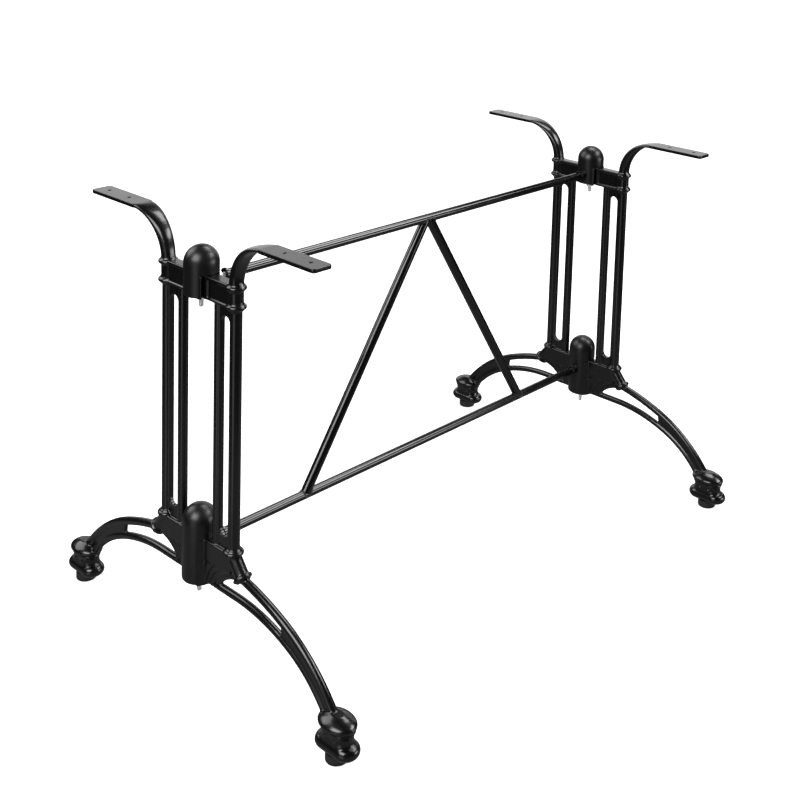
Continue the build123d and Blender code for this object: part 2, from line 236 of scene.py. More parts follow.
def edge_rub_group() -> bpy.types.NodeTree:
    """Thin, slightly lighter coat on the ridges, where handling polishes it, and painted shade that darkens the
    hollows.

    Returns:
        Group with outputs Color and Mask.
    """
    tree, inp, out = shader_group(
        "rub_and_painted_shade",
        [("Color", "NodeSocketColor", (0.02, 0.02, 0.02, 1)), ("Rubbed", "NodeSocketColor", (0.06, 0.06, 0.06, 1)),
         ("Hollow", "NodeSocketColor", (0.01, 0.01, 0.01, 1)), ("Amount", "NodeSocketFloat", 0.6)],
        [("Color", "NodeSocketColor"), ("Mask", "NodeSocketFloat")])
    ridge = tree.add("ShaderNodeNewGeometry").outputs["Pointiness"]
    place = tree.add("ShaderNodeTexCoord").outputs["Object"]
    break_up = tree.noise(place, 120.0, 5.0, 0.65)
    mask = tree.maths("MULTIPLY", tree.ramp(ridge, 0.515, 0.60), tree.ramp(break_up, 0.38, 0.62))
    mask = tree.maths("MULTIPLY", mask, inp.outputs["Amount"])
    # Painted shade: where pointiness marks a hollow, the colour darkens to the shade colour.
    low = tree.blend(tree.ramp(ridge, 0.485, 0.40), inp.outputs["Color"], inp.outputs["Hollow"])
    tree.tree.links.new(tree.blend(mask, low, inp.outputs["Rubbed"]), out.inputs["Color"])
    tree.tree.links.new(mask, out.inputs["Mask"])
    return tree.tree


# Finishes


def new_material(name: str) -> tuple[bpy.types.Material, Tree]:
    """Material that uses nodes, and its tree."""
    mat = bpy.data.materials.new(name)
    mat.use_nodes = True
    return mat, Tree(mat.node_tree)


def feed_shader(tree: Tree, color: Socket, surface: bpy.types.Node) -> bpy.types.Node:
    """Feeds the material's shader with a color and with a powder skin.

    Args:
        tree: The material's tree.
        color: The base color.
        surface: The powder skin group's node.

    Returns:
        The shader.
    """
    shader = tree.tree.nodes["Principled BSDF"]
    tree.tree.links.new(color, shader.inputs["Base Color"])
    for label in ("Roughness", "Normal"):
        tree.tree.links.new(surface.outputs[label], shader.inputs[label])
    return shader


@dataclass(frozen=True)
class PowderCoat:
    """Satin black powder coat."""

    name: str
    color: Point = (0.0013, 0.0013, 0.0014)
    rubbed: Point = (0.0075, 0.0075, 0.0080)
    # Colour of the painted shade in the hollows.
    hollow: Point = (0.0004, 0.0004, 0.0005)
    rub_amount: float = 0.5
    roughness: float = 0.24
    spread: float = 0.03
    peel_depth: float = 0.000008
    swell_depth: float = 0.00003
    coat: float = 0.2
    coat_roughness: float = 0.1

    def material(self, skin: bpy.types.NodeTree, rub_and_shade: bpy.types.NodeTree) -> bpy.types.Material:
        """Builds the material.

        Args:
            skin: The powder skin group.
            rub_and_shade: The group of the edge rub and of the painted shade in the hollows.

        Returns:
            The material.
        """
        mat, tree = new_material(self.name)
        surface = tree.add("ShaderNodeGroup", {"node_tree": skin}, Roughness=self.roughness, Spread=self.spread,
                           Peel_Depth=self.peel_depth, Swell_Depth=self.swell_depth)
        # Edge rub on the ridges, with painted shade darkening the hollows.
        tint = tree.add("ShaderNodeGroup", {"node_tree": rub_and_shade}, Color=(*self.color, 1), Rubbed=(*self.rubbed, 1),
                        Hollow=(*self.hollow, 1), Amount=self.rub_amount)
        shader = feed_shader(tree, tint.outputs["Color"], surface)
        shader.inputs["Coat Weight"].default_value = self.coat
        shader.inputs["Coat Roughness"].default_value = self.coat_roughness
        mat.diffuse_color = (*self.color, 1)
        return mat


@dataclass(frozen=True)
class ZincPlate:
    """Zinc plated steel with a cloudy sheen."""

    name: str
    light: Point = (0.74, 0.74, 0.75)
    dark: Point = (0.50, 0.50, 0.52)
    roughness: float = 0.36
    metallic: float = 0.75

    def material(self, skin: bpy.types.NodeTree) -> bpy.types.Material:
        """Builds the material.

        Args:
            skin: The powder skin group, used here for the cloudy plating.

        Returns:
            The material.
        """
        mat, tree = new_material(self.name)
        surface = tree.add("ShaderNodeGroup", {"node_tree": skin}, Roughness=self.roughness, Spread=0.09,
                           Peel_Scale=1500.0, Peel_Depth=0.00001, Swell_Scale=400.0, Swell_Depth=0.00002)
        tint = tree.blend(surface.outputs["Patch"], (*self.dark, 1), (*self.light, 1))
        feed_shader(tree, tint, surface).inputs["Metallic"].default_value = self.metallic
        return mat


@dataclass(frozen=True)
class MouldedPlastic:
    """Moulded black plastic with a fine spark grain."""

    name: str
    color: Point = (0.005, 0.005, 0.005)
    roughness: float = 0.5

    def material(self, skin: bpy.types.NodeTree) -> bpy.types.Material:
        """Builds the material.

        Args:
            skin: The powder skin group, used here for the mould's grain.

        Returns:
            The material.
        """
        mat, tree = new_material(self.name)
        surface = tree.add("ShaderNodeGroup", {"node_tree": skin}, Roughness=self.roughness, Spread=0.08,
                           Peel_Scale=1400.0, Peel_Depth=0.00006, Swell_Scale=90.0, Swell_Depth=0.00004)
        lighter = tuple(min(1.0, 1.9 * c) for c in self.color)
        feed_shader(tree, tree.blend(surface.outputs["Patch"], (*self.color, 1), (*lighter, 1)), surface)
        return mat


@dataclass(frozen=True)
class Finishes:
    """Every material of the object."""

    casting: bpy.types.Material
    hub: bpy.types.Material
    tube: bpy.types.Material
    weld: bpy.types.Material
    zinc: bpy.types.Material
    glide: bpy.types.Material


def mix_finishes() -> Finishes:
    """Builds all materials from their two shared groups.

    Returns:
        The materials.
    """
    skin, rub_and_shade = powder_skin_group(), edge_rub_group()
    hub = PowderCoat("hub_powder_coat", color=(0.0017, 0.0017, 0.0018), roughness=0.35, swell_depth=0.00002, coat=0.0)
    tube = PowderCoat("tube_powder_coat", roughness=0.14, swell_depth=0.000004, rub_amount=0.2)
    return Finishes(
        casting=PowderCoat("casting_powder_coat").material(skin, rub_and_shade),
        hub=hub.material(skin, rub_and_shade),
        tube=tube.material(skin, rub_and_shade),
        weld=PowderCoat("weld_powder_coat", roughness=0.4, swell_depth=0.0002).material(skin, rub_and_shade),
        zinc=ZincPlate("zinc_plate").material(skin),
        glide=MouldedPlastic("glide_plastic").material(skin))


# Meshes


def merged_copy(node: str) -> bpy.types.Mesh:
    """Copy of a CAD node's mesh with its loose triangles joined.

    Args:
        node: The node's name.

    Returns:
        The new mesh.
    """
    mesh = frame["nodes"][node].data.copy()
    work = bmesh.new()
    work.from_mesh(mesh)
    bmesh.ops.remove_doubles(work, verts=work.verts, dist=1e-6)
    work.to_mesh(mesh)
    work.free()
    return mesh


def new_piece(name: str, mesh: bpy.types.Mesh, material: bpy.types.Material) -> bpy.types.Object:
    """Object at the origin with one material.

    Args:
        name: The object's name.
        mesh: Its mesh, already in place.
        material: Its finish.

    Returns:
        The object.
    """
    mesh.materials.clear()
    mesh.materials.append(material)
    piece = bpy.data.objects.new(name, mesh)
    bpy.context.scene.collection.objects.link(piece)
    return piece


def applied(piece: bpy.types.Object) -> bpy.types.Object:
    """Turns a piece with modifiers into a plain mesh.

    Args:
        piece: The object.

    Returns:
        The same object, with its modifiers in its mesh.
    """
    bpy.context.view_layer.update()
    graph = bpy.context.evaluated_depsgraph_get()
    mesh = bpy.data.meshes.new_from_object(piece.evaluated_get(graph), preserve_all_data_layers=True, depsgraph=graph)
    piece.modifiers.clear()
    piece.data = mesh
    return piece


def shade(piece: bpy.types.Object, angle: float = 180.0) -> None:
    """Smooth shading, with edges sharper than the angle in degrees left crisp."""
    piece.data.shade_smooth()
    if angle < 180.0:
        piece.data.set_sharp_from_angle(angle=math.radians(angle))


def fit_out(piece: bpy.types.Object, slot: Slot, *nodes: str) -> None:
    """Rides the piece, puts it in the nodes' place and reports it.

    Args:
        piece: The finished object.
        slot: The record's material slot; not used.
        nodes: The CAD nodes that it stands for.
    """
    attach(piece, BODY)
    if nodes:
        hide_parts(*nodes)
    LOG.info("%s: %d faces", piece.name, len(piece.data.polygons))


def dress_node(node: str, material: bpy.types.Material) -> None:
    """Gives a CAD node, whose shape is right, its finish.

    Args:
        node: The node's name.
        material: Its finish.
    """
    cad = frame["nodes"][node]
    cad.data.materials.clear()
    cad.data.materials.append(material)
    LOG.info("%s: dressed", node)


# Geometry Nodes


class Recipe:
    """A Geometry Nodes tree with named inputs that ends in real geometry with its material set."""

    def __init__(self, name: str, inputs: Sockets) -> None:
        """Makes the tree and its sockets.

        Args:
            name: The tree's name.
            inputs: Name, socket type and default of each input.
        """
        self.group = bpy.data.node_groups.new(name, "GeometryNodeTree")
        self.ids: dict[str, str] = {}
        for label, kind, default in inputs:
            socket = self.group.interface.new_socket(name=label, in_out="INPUT", socket_type=kind)
            socket.default_value = default
            self.ids[label] = socket.identifier
        finish = self.group.interface.new_socket(name="Finish", in_out="INPUT", socket_type="NodeSocketMaterial")
        self.ids["Finish"] = finish.identifier
        self.group.interface.new_socket(name="Geometry", in_out="OUTPUT", socket_type="NodeSocketGeometry")
        self.nodes = Tree(self.group)
        self.inputs = self.nodes.add("NodeGroupInput").outputs

    def swept(self, path: Socket, section: Socket) -> Socket:
        """Closed skin of a section along a path."""
        node = self.nodes.add("GeometryNodeCurveToMesh", None, Curve=path, Profile_Curve=section, Fill_Caps=True)
        return node.outputs[0]

    def close(self, geometry: Socket) -> None:
        """Ends the tree.

        Args:
            geometry: The geometry to give out.
        """
        real = self.nodes.add("GeometryNodeRealizeInstances", None, Geometry=geometry)
        done = self.nodes.add("GeometryNodeSetMaterial", None, Geometry=real.outputs[0], Material=self.inputs["Finish"])
        self.nodes.add("NodeGroupOutput", None, Geometry=done.outputs[0])

    def make(self, name: str, material: bpy.types.Material, place: Matrix, **values: object) -> bpy.types.Object:
        """Runs the tree once and keeps the result as a plain mesh.

        Args:
            name: The new object's name.
            material: Its finish.
            place: Where the result goes.
            values: The inputs, by name with underscores for spaces.

        Returns:
            The object, with its place in its mesh.
        """
        piece = bpy.data.objects.new(name, bpy.data.meshes.new(name))
        bpy.context.scene.collection.objects.link(piece)
        modifier = piece.modifiers.new(self.group.name, "NODES")
        modifier.node_group = self.group
        modifier[self.ids["Finish"]] = material
        for label, value in values.items():
            modifier[self.ids[label.replace("_", " ")]] = value
        applied(piece)
        piece.data.transform(place)
        return piece


def tube_recipe() -> Recipe:
    """Closed round tube of one length along Z.

    Returns:
        The recipe, with inputs Length and Radius.
    """
    recipe = Recipe("tube_run", [("Length", "NodeSocketFloat", 1.0), ("Radius", "NodeSocketFloat", 0.008)])
    nodes, given = recipe.nodes, recipe.inputs
    top = nodes.add("ShaderNodeCombineXYZ", None, Z=given["Length"])
    line = nodes.add("GeometryNodeCurvePrimitiveLine", None, End=top.outputs[0])
    steps = nodes.add("GeometryNodeResampleCurve", None, Curve=line.outputs[0], Count=25)
    ring = nodes.add("GeometryNodeCurvePrimitiveCircle", None, Resolution=64, Radius=given["Radius"])
    recipe.close(recipe.swept(steps.outputs[0], ring.outputs[0]))
    return recipe


def stud_recipe() -> Recipe:
    """Threaded stud along Z: a core with a thread that winds up it.

    Returns:
        The recipe, with inputs Length, Radius, Depth and Pitch.
    """
    recipe = Recipe("threaded_stud", [
        ("Length", "NodeSocketFloat", 0.03), ("Radius", "NodeSocketFloat", 0.004),
        ("Depth", "NodeSocketFloat", 0.0007), ("Pitch", "NodeSocketFloat", 0.00125)])
    nodes, given = recipe.nodes, recipe.inputs
    core = nodes.maths("SUBTRACT", given["Radius"], given["Depth"])
    lead = nodes.maths("MULTIPLY", given["Pitch"], 1.2)
    wound = nodes.maths("SUBTRACT", given["Length"], nodes.maths("MULTIPLY", lead, 2.0))
    turns = nodes.maths("DIVIDE", wound, given["Pitch"])
    shaft = nodes.add("GeometryNodeMeshCylinder", None, Vertices=40, Radius=core, Depth=given["Length"])
    middle = nodes.add("ShaderNodeCombineXYZ", None, Z=nodes.maths("MULTIPLY", given["Length"], 0.5))
    shaft = nodes.add("GeometryNodeTransform", None, Geometry=shaft.outputs[0], Translation=middle.outputs[0])
    path = nodes.add("GeometryNodeCurveSpiral", None, Resolution=32, Rotations=turns, Start_Radius=core,
                     End_Radius=core, Height=wound)
    up = nodes.add("ShaderNodeCombineXYZ", None, Z=lead)
    path = nodes.add("GeometryNodeTransform", None, Geometry=path.outputs[0], Translation=up.outputs[0])
    ridge = nodes.add("GeometryNodeCurvePrimitiveCircle", None, Resolution=4, Radius=given["Depth"])
    thread = recipe.swept(path.outputs[0], ridge.outputs[0])
    both = nodes.add("GeometryNodeJoinGeometry")
    recipe.group.links.new(shaft.outputs[0], both.inputs[0])
    recipe.group.links.new(thread, both.inputs[0])
    recipe.close(both.outputs[0])
    return recipe


def weld_recipe() -> Recipe:
    """Weld run round the joint of a leaning tube on a level one: lapped drops along the saddle line.

    Returns:
        The recipe, with inputs Rail, Brace, Lean, Drop, Count and Seed. The level tube lies along X through the origin.
    """
    recipe = Recipe("weld_run", [
        ("Rail", "NodeSocketFloat", 0.008), ("Brace", "NodeSocketFloat", 0.0078), ("Lean", "NodeSocketFloat", 0.5),
        ("Drop", "NodeSocketFloat", 0.0017), ("Count", "NodeSocketInt", 46), ("Seed", "NodeSocketInt", 1)])
    nodes, given = recipe.nodes, recipe.inputs
    ring = nodes.add("GeometryNodeCurvePrimitiveCircle", None, Resolution=given["Count"], Radius=1.0)
    spot = nodes.add("ShaderNodeSeparateXYZ", None, Vector=nodes.add("GeometryNodeInputPosition").outputs[0])
    across = nodes.maths("MULTIPLY", spot.outputs[0], given["Brace"])
    side = nodes.maths("MULTIPLY", spot.outputs[1], given["Brace"])
    sine, cosine = nodes.maths("SINE", given["Lean"]), nodes.maths("COSINE", given["Lean"])
    rail_square = nodes.maths("MULTIPLY", given["Rail"], given["Rail"])
    square = nodes.maths("SUBTRACT", rail_square, nodes.maths("MULTIPLY", side, side))
    height = nodes.maths("SQRT", nodes.maths("MAXIMUM", square, 0.0))
    along = nodes.maths("DIVIDE", nodes.maths("ADD", height, nodes.maths("MULTIPLY", across, sine)), cosine)
    x = nodes.maths("ADD", nodes.maths("MULTIPLY", across, cosine), nodes.maths("MULTIPLY", along, sine))
    place = nodes.add("ShaderNodeCombineXYZ", None, X=x, Y=side, Z=height)
    saddle = nodes.add("GeometryNodeSetPosition", None, Geometry=ring.outputs[0], Position=place.outputs[0])
    even = nodes.add("GeometryNodeResampleCurve", None, Curve=saddle.outputs[0], Count=given["Count"])
    drop = nodes.add("GeometryNodeMeshIcoSphere", None, Radius=given["Drop"], Subdivisions=2)
    size = nodes.add("FunctionNodeRandomValue", {"data_type": "FLOAT"}, Seed=given["Seed"])
    size.inputs[2].default_value, size.inputs[3].default_value = 0.86, 1.14
    drops = nodes.add("GeometryNodeInstanceOnPoints", None, Points=even.outputs[0], Instance=drop.outputs[0],
                      Scale=size.outputs[1])
    recipe.close(drops.outputs[0])
    return recipe


# Sub-assemblies


@dataclass(frozen=True)
class Bend:
    """Bend of the tabletop arm, from its round root to the flat bar. Centre in Y and Z, sizes in metres."""

    centre: Flat = (0.1594, 0.64475)
    radius: float = 0.072
    reach: float = 0.012
    root_half: float = 0.011
    half_gain: float = 0.007
    root_thickness: float = 0.020
    thickness_loss: float = 0.0135
    crown: float = 0.0032


@dataclass(frozen=True)
class Ridges:
    """Nested ridges under the lower web, each as centre Y, centre Z and radius. Sizes in metres."""

    rings: tuple[Point, ...] = (
        (0.1090, 0.1085, 0.0678), (0.0974, 0.1223, 0.0600), (0.0914, 0.1323, 0.0585), (0.0854, 0.1423, 0.0570))
    bottom: float = 0.11
    top: float = 0.184
    outer: float = 0.118
    core: float = 0.002
    roll: float = 0.0015


@dataclass
class LegCastings:
    """The four leg castings, each one piece from the tabletop arm to the foot. Sizes in metres."""

    finish: bpy.types.Material
    voxel: float = 0.0010
    softening: int = 3
    plain_softening: int = 15
    foot_from: Flat = (0.30, 0.075)
    rods_from: Flat = (0.165, 0.150)
    rods_share: float = 0.35
    nub_height: float = 0.0395
    pad_top: float = 0.0145
    most_triangles: int = 198000
    bend: Bend = Bend()
    ridges: Ridges = Ridges()

    def build(self) -> list[bpy.types.Object]:
        """Makes one casting with the soft corners of a real one, and its three mirror images.

        Returns:
            The four objects.
        """
        first = self.soften("leg_casting_a_left")
        low_a, high_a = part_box("leg_casting_a_left")
        low_b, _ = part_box("leg_casting_b_left")
        step = low_b.x - low_a.x
        made = []
        for end in End:
            for side in Side:
                mesh = first.data.copy()
                if end is End.B:
                    mesh.transform(Matrix.Translation((step, 0, 0)))
                if side is Side.RIGHT:
                    mesh.transform(Matrix.Scale(-1, 4, (0, 1, 0)))
                    mesh.flip_normals()
                node = f"leg_casting_{end.tag}_{side.tag}"
                piece = new_piece(f"{node}_cast", mesh, self.finish)
                shade(piece)
                fit_out(piece, Slot.CASTING, node)
                made.append(piece)
        bpy.data.objects.remove(first)
        return made

    def soften(self, node: str) -> bpy.types.Object:
        """Copy of a casting's solid as one even skin, with rounded corners and filleted joins.

        Args:
            node: The CAD node.

        Returns:
            A scratch object with the skin as its mesh.
        """
        piece = new_piece("casting_pattern", merged_copy(node), self.finish)
        low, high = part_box(node)
        middle = (low.x + high.x) / 2
        skin = piece.modifiers.new("skin", "REMESH")
        skin.mode, skin.voxel_size = "VOXEL", self.voxel
        applied(piece)
        self.crown_bend(piece, middle)
        self.roll_ridges(piece, middle)
        plain = piece.vertex_groups.new(name="plain")
        for vertex in piece.data.vertices:
            share = self.plainness(vertex.co)
            if share > 0:
                plain.add((vertex.index,), share, "REPLACE")
        for name, rounds, group in (("soft", self.softening, ""), ("soft_plain", self.plain_softening, plain.name)):
            soft = piece.modifiers.new(name, "SMOOTH")
            soft.factor, soft.iterations, soft.vertex_group = 0.5, rounds, group
        applied(piece)
        triangles = 2 * len(piece.data.polygons)
        if triangles > self.most_triangles:
            fewer = piece.modifiers.new("fewer", "DECIMATE")
            fewer.ratio = self.most_triangles / triangles
            applied(piece)
        LOG.info("casting pattern: %d triangles before thinning", triangles)
        return piece

    def crown_bend(self, piece: bpy.types.Object, middle: float) -> None:
        """Rounds the outer face of the arm where it bends, so that it blends from the round root to the flat bar.

        Args:
            piece: The scratch object with the skin.
            middle: X of the casting's middle.
        """
        bend = self.bend
        for vertex in piece.data.vertices:
            x, y, z = vertex.co.x - middle, vertex.co.y - bend.centre[0], vertex.co.z - bend.centre[1]
            reach = math.hypot(y, z)
            if y >= 0 or z <= 0 or abs(reach - bend.radius) > bend.reach:
                continue
            share = math.atan2(z, -y) / (math.pi / 2)
            half = bend.root_half + bend.half_gain * share
            thick = bend.root_thickness - bend.thickness_loss * share
            outside = min(1.0, max(0.0, (reach - bend.radius) / thick + 0.5))
            drop = bend.crown * math.sin(math.pi * share) * outside * min(1.0, abs(x) / half) ** 2
            vertex.co.y -= drop * y / reach
            vertex.co.z -= drop * z / reach

    def roll_ridges(self, piece: bpy.types.Object, middle: float) -> None:
        """Rounds each ridge under the lower web across its width.

        Args:
            piece: The scratch object with the skin.
            middle: X of the casting's middle.
        """
        ridges = self.ridges
        for vertex in piece.data.vertices:
            x, y, z = vertex.co.x - middle, vertex.co.y, vertex.co.z
            if not (ridges.bottom < z < ridges.top and y < ridges.outer and abs(x) > ridges.core):
                continue
            gaps = [math.hypot(y - at_y, z - at_z) - radius for at_y, at_z, radius in ridges.rings] + [z - ridges.top]
            ring = max((i for i, gap in enumerate(gaps[:-1]) if gap > 0), default=None)
            if ring is None or gaps[ring + 1] >= 0:
                continue
            across = gaps[ring] / (gaps[ring] - gaps[ring + 1])
            vertex.co.x -= math.copysign(ridges.roll * (2 * across - 1) ** 2, x)

    def plainness(self, spot: Vector) -> float:
        """Share of the extra smoothing at a point: all of it in the arm's bend and the foot, some along the rods.

        Args:
            spot: The point.

        Returns:
            The share, at most 1 and below 0 where there is none.
        """
        (bend_y, bend_z), (foot_y, foot_z), (rods_y, rods_z) = self.bend.centre, self.foot_from, self.rods_from
        above_pad = (spot.z - self.pad_top) / 0.002
        bend = min(1.0, (spot.z - bend_z) / 0.006, (bend_y + 0.006 - spot.y) / 0.012)
        foot = min(1.0, (spot.y - foot_y) / 0.006, (foot_z - spot.z) / 0.012, above_pad)
        foot = min(foot, max(0.1, (abs(spot.z - self.nub_height) - 0.003) / 0.004))
        rods = min(self.rods_share, (spot.y - rods_y) / 0.02, (rods_z - spot.z) / 0.02, above_pad)
        return max(bend, foot, rods)


@dataclass(frozen=True)
class HubForm:
    """What differs between the two levels of hubs. Sizes in metres.

    The roof is the top of the slot, the rounding is the lower rim's, and the rail is the height of its stud.
    """

    level: Level
    roof: float
    rounding: float
    rail: float


@dataclass
class Hubs:
    """The domed caps that straddle the castings. Sizes in metres."""

    finish: bpy.types.Material
    segments: int = 128
    slot_half: float = 0.0195
    edge: float = 0.0008
    spot_radius: float = 0.0102
    spot_depth: float = 0.0022
    forms: tuple[HubForm, ...] = (
        HubForm(Level.TOP, 0.645, 0.0015, RAIL_TOP), HubForm(Level.BOTTOM, 0.217, 0.0068, RAIL_BOTTOM))

    def build(self) -> list[bpy.types.Object]:
        """Turns, slots and spot-faces the four caps.

        Returns:
            The four objects.
        """
        made = []
        for form in self.forms:
            for end in End:
                node = f"hub_{form.level.value}_{end.tag}"
                piece = self.cap(node, form, end)
                fit_out(piece, Slot.HUB, node)
                made.append(piece)
        return made

    def cap(self, node: str, form: HubForm, end: End) -> bpy.types.Object:
        """One cap.

        Args:
            node: The CAD node, which gives its box.
            form: The level's own sizes.
            end: Which end it is at, which says where the rail leaves.

        Returns:
            The object.
        """
        low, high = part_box(node)
        radius, centre = (high.y - low.y) / 2, (high.x + low.x) / 2
        rim = form.rounding
        profile = [(0.0, low.z), (radius - rim, low.z)]
        profile += [(radius - rim * (1 - math.sin(t)), low.z + rim * (1 - math.cos(t)))
                    for t in (math.pi / 2 * i / 8 for i in range(1, 9))]
        profile += [(radius * math.cos(t), high.z - radius + radius * math.sin(t))
                    for t in (math.pi / 2 * i / 32 for i in range(0, 32))] + [(0.0, high.z)]
        piece = new_piece(f"{node}_cap", turned(profile, self.segments), self.finish)
        piece.data.transform(Matrix.Translation((centre, 0, 0)))
        slot = block_mesh((centre - self.slot_half, -0.06, low.z - 0.01), (centre + self.slot_half, 0.06, form.roof))
        depth, spot = -self.spot_depth, self.spot_radius
        face = turned([(0.0, depth), (spot, depth), (spot, 0.01), (0.0, 0.01)], 48)
        face.transform(Matrix.Translation((centre - end.value * radius, 0, form.rail))
                       @ Matrix.Rotation(-end.value * math.pi / 2, 4, "Y"))
        for tool in (slot, face):
            cut(piece, tool)
        round_off = piece.modifiers.new("round_off", "BEVEL")
        round_off.width, round_off.segments, round_off.limit_method = self.edge, 3, "ANGLE"
        round_off.angle_limit = math.radians(40)
        applied(piece)
        shade(piece, 40)
        return piece


@dataclass
class RailSet:
    """Two rails, the V brace and its welds. Sizes in metres."""

    tube: bpy.types.Material
    weld: bpy.types.Material
    rail_radius: float = 0.008
    brace_radius: float = 0.009
    brace_head: float = 0.0035
    brace_foot: float = 0.283
    inset: float = 0.004
    drop: float = 0.0016
    drops: int = 46

    def build(self) -> list[bpy.types.Object]:
        """Makes the tubes and welds.

        Returns:
            All their objects.
        """
        tubes, welds = tube_recipe(), weld_recipe()
        made = []
        for level in Level:
            node = f"rail_{level.value}"
            low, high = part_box(node)
            middle_z = (low.z + high.z) / 2
            place = Matrix.Translation((low.x, 0, middle_z)) @ Matrix.Rotation(math.pi / 2, 4, "Y")
            rail = tubes.make(f"{node}_tube", self.tube, place, Length=high.x - low.x, Radius=self.rail_radius)
            shade(rail, 40)
            fit_out(rail, Slot.TUBE, node)
            made.append(rail)
        reach = self.brace_foot - self.brace_head
        lean = math.atan2(reach, RAIL_TOP - RAIL_BOTTOM)
        length = math.hypot(reach, RAIL_TOP - RAIL_BOTTOM)
        for end in End:
            turn = Matrix.Rotation(math.pi - end.value * lean, 4, "Y")
            head = (end.value * self.brace_head, 0, RAIL_TOP)
            place = Matrix.Translation(head) @ turn @ Matrix.Translation((0, 0, self.inset))
            node = f"brace_{end.tag}"
            brace = tubes.make(f"{node}_tube", self.tube, place, Length=length - 2 * self.inset,
                               Radius=self.brace_radius)
            shade(brace, 40)
            fit_out(brace, Slot.TUBE, node)
            made.append(brace)
            at_foot = Matrix.Translation((end.value * self.brace_foot, 0, RAIL_BOTTOM))
            at_top = Matrix.Translation(head) @ Matrix.Rotation(math.pi, 4, "Y")
            for where, spot, seed in (("foot", at_foot, 3), ("top", at_top, 7)):
                run = welds.make(f"weld_{where}_{end.tag}", self.weld, spot, Rail=self.rail_radius,
                                 Brace=self.brace_radius, Lean=-end.value * lean, Drop=self.drop, Count=self.drops,
                                 Seed=seed + end.value)
                shade(run)
                fit_out(run, Slot.TUBE)
                made.append(run)
        return made


@dataclass
class Hardware:
    """Studs with their threads, nuts, washers, plugs and glides. At end B the rails' nuts and washers take the black
    tube finish.
    """

    finishes: Finishes
    thread_depth: float = 0.0006
    thread_pitch: float = 0.00125

    def build(self) -> list[bpy.types.Object]:
        """Makes the threaded studs and dresses the other small parts.

        Returns:
            The studs' objects.
        """
        studs = stud_recipe()
        made = []
        for end in End:
            for level in Level:
                tag = f"{level.value}_{end.tag}"
                made.append(self.stud(studs, f"hub_stud_{tag}"))
                made.append(self.stud(studs, f"rail_stud_{tag}"))
                at_rail = self.finishes.zinc if end is End.A else self.finishes.tube
                for place, finish in (("hub", self.finishes.zinc), ("rail", at_rail)):
                    for kind in ("washer", "nut"):
                        dress_node(f"{place}_{kind}_{tag}", finish)
                dress_node(f"rail_plug_{tag}", self.finishes.tube)
            for side in Side:
                dress_node(f"glide_pad_{end.tag}_{side.tag}", self.finishes.glide)
                dress_node(f"glide_stud_{end.tag}_{side.tag}", self.finishes.zinc)
        return made

    def stud(self, recipe: Recipe, node: str) -> bpy.types.Object:
        """Threaded stud in the place of a plain one.

        Args:
            recipe: The stud recipe.
            node: The CAD node, which gives its box.

        Returns:
            The object.
        """
        low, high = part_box(node)
        size, middle = high - low, (high + low) / 2
        lying = size.x > size.z
        length, radius = (size.x, size.z / 2) if lying else (size.z, size.x / 2)
        place = Matrix.Translation((low.x, middle.y, middle.z)) @ Matrix.Rotation(math.pi / 2, 4, "Y")
        if not lying:
            place = Matrix.Translation((middle.x, middle.y, low.z))
        piece = recipe.make(f"{node}_thread", self.finishes.zinc, place, Length=length, Radius=radius,
                            Depth=self.thread_depth, Pitch=self.thread_pitch)
        shade(piece, 30)
        fit_out(piece, Slot.ZINC, node)
        return piece


def turned(profile: Sequence[tuple[float, float]], segments: int) -> bpy.types.Mesh:
    """Closed mesh turned about Z.

    Args:
        profile: Radius and height pairs from the lower pole to the upper one.
        segments: Steps round the turn.

    Returns:
        The mesh, with its faces outwards.
    """
    work = bmesh.new()
    turns = [2 * math.pi * k / segments for k in range(segments)]
    poles = {i: work.verts.new((0, 0, z)) for i, (r, z) in enumerate(profile) if r <= 0}
    rings = {i: [work.verts.new((r * math.cos(t), r * math.sin(t), z)) for t in turns]
             for i, (r, z) in enumerate(profile) if r > 0}
    for i in range(len(profile) - 1):
        for k in range(segments):
            n = (k + 1) % segments
            if i in poles:
                work.faces.new((poles[i], rings[i + 1][n], rings[i + 1][k]))
            elif i + 1 in poles:
                work.faces.new((rings[i][k], rings[i][n], poles[i + 1]))
            else:
                work.faces.new((rings[i][k], rings[i][n], rings[i + 1][n], rings[i + 1][k]))
    bmesh.ops.recalc_face_normals(work, faces=work.faces)
    mesh = bpy.data.meshes.new("turned")
    work.to_mesh(mesh)
    work.free()
    return mesh


def block_mesh(low: Point, high: Point) -> bpy.types.Mesh:
    """Block between two corners, used only as a cutter.

    Args:
        low: Lowest corner.
        high: Highest corner.

    Returns:
        The mesh.
    """
    work = bmesh.new()
    bmesh.ops.create_cube(work, size=1.0)
    size = [b - a for a, b in zip(low, high)]
    centre = [(a + b) / 2 for a, b in zip(low, high)]
    bmesh.ops.transform(work, matrix=Matrix.Translation(centre) @ Matrix.Diagonal((*size, 1)), verts=work.verts)
    mesh = bpy.data.meshes.new("block")
    work.to_mesh(mesh)
    work.free()
    return mesh


def cut(piece: bpy.types.Object, tool: bpy.types.Mesh) -> None:
    """Cuts a closed mesh out of a piece.

    Args:
        piece: The object that loses material.
        tool: The cutter's mesh, in place.
    """
    cutter = bpy.data.objects.new("cutter", tool)
    bpy.context.scene.collection.objects.link(cutter)
    change = piece.modifiers.new("cut", "BOOLEAN")
    change.operation, change.solver, change.object = "DIFFERENCE", "EXACT", cutter
    applied(piece)
    bpy.data.objects.remove(cutter)


# Studio


